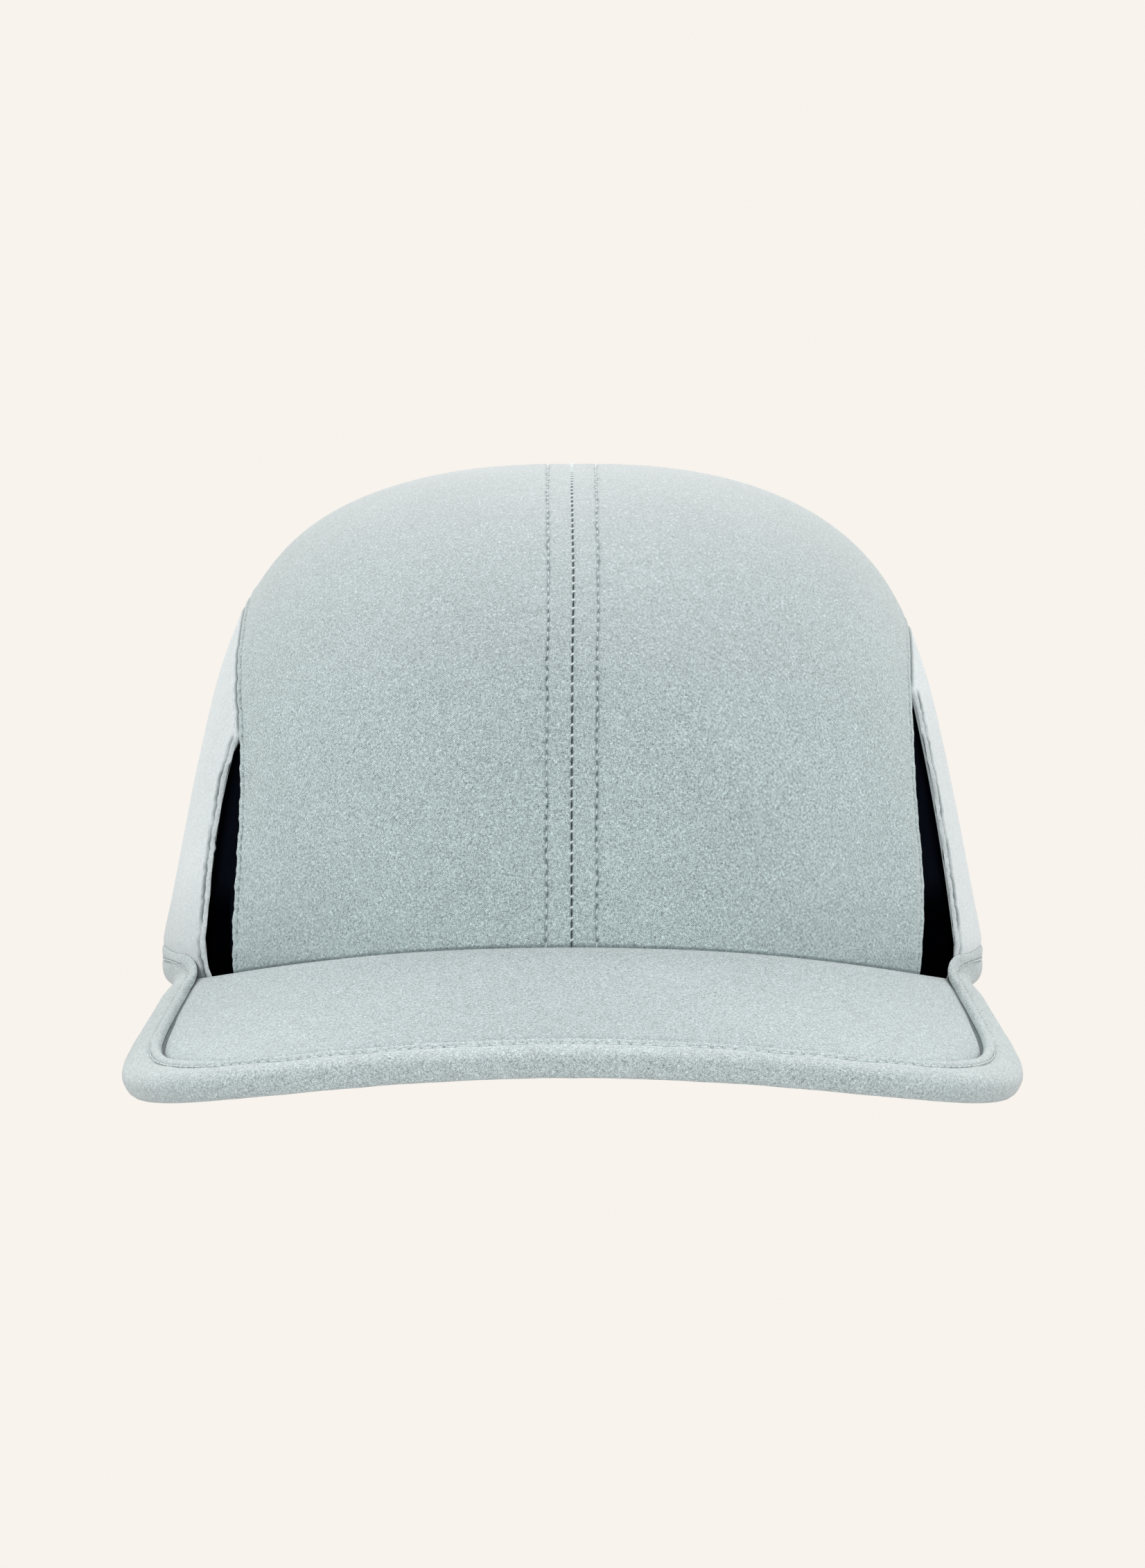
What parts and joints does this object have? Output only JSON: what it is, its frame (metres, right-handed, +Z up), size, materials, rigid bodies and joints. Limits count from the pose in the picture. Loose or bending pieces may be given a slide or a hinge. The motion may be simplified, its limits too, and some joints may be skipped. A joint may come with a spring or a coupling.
{
  "type": "running cap",
  "caption": "Soft running cap with a domed crown of sewn panels, a dark mesh vent at each side, a curved foam peak and a bound edge.",
  "frame": {"origin": "middle of the cap's footprint, on the surface it rests on", "axes": "+Z up, +X to the right of the picture, front of the peak towards -Y"},
  "size_m": [0.176, 0.2612, 0.1153],
  "materials": {
    "crown_cloth": "pale blue-grey fine woven cloth with a faint speckle, matt",
    "side_cloth": "the same pale cloth, smoother and a little lighter, matt",
    "peak_cloth": "pale blue-grey knitted cloth drawn over foam, matt",
    "band_cloth": "pale blue-grey twill binding, matt",
    "vent_mesh": "black fine mesh, matt"
  },
  "bodies": {
    "root": {"top_panel_left": "crown_cloth", "top_panel_right": "crown_cloth", "side_panel_left": "side_cloth", "side_panel_right": "side_cloth", "vent_mesh_left": "vent_mesh", "vent_mesh_right": "vent_mesh", "peak_blade": "peak_cloth", "edge_band": "band_cloth"}
  },
  "joints": []
}
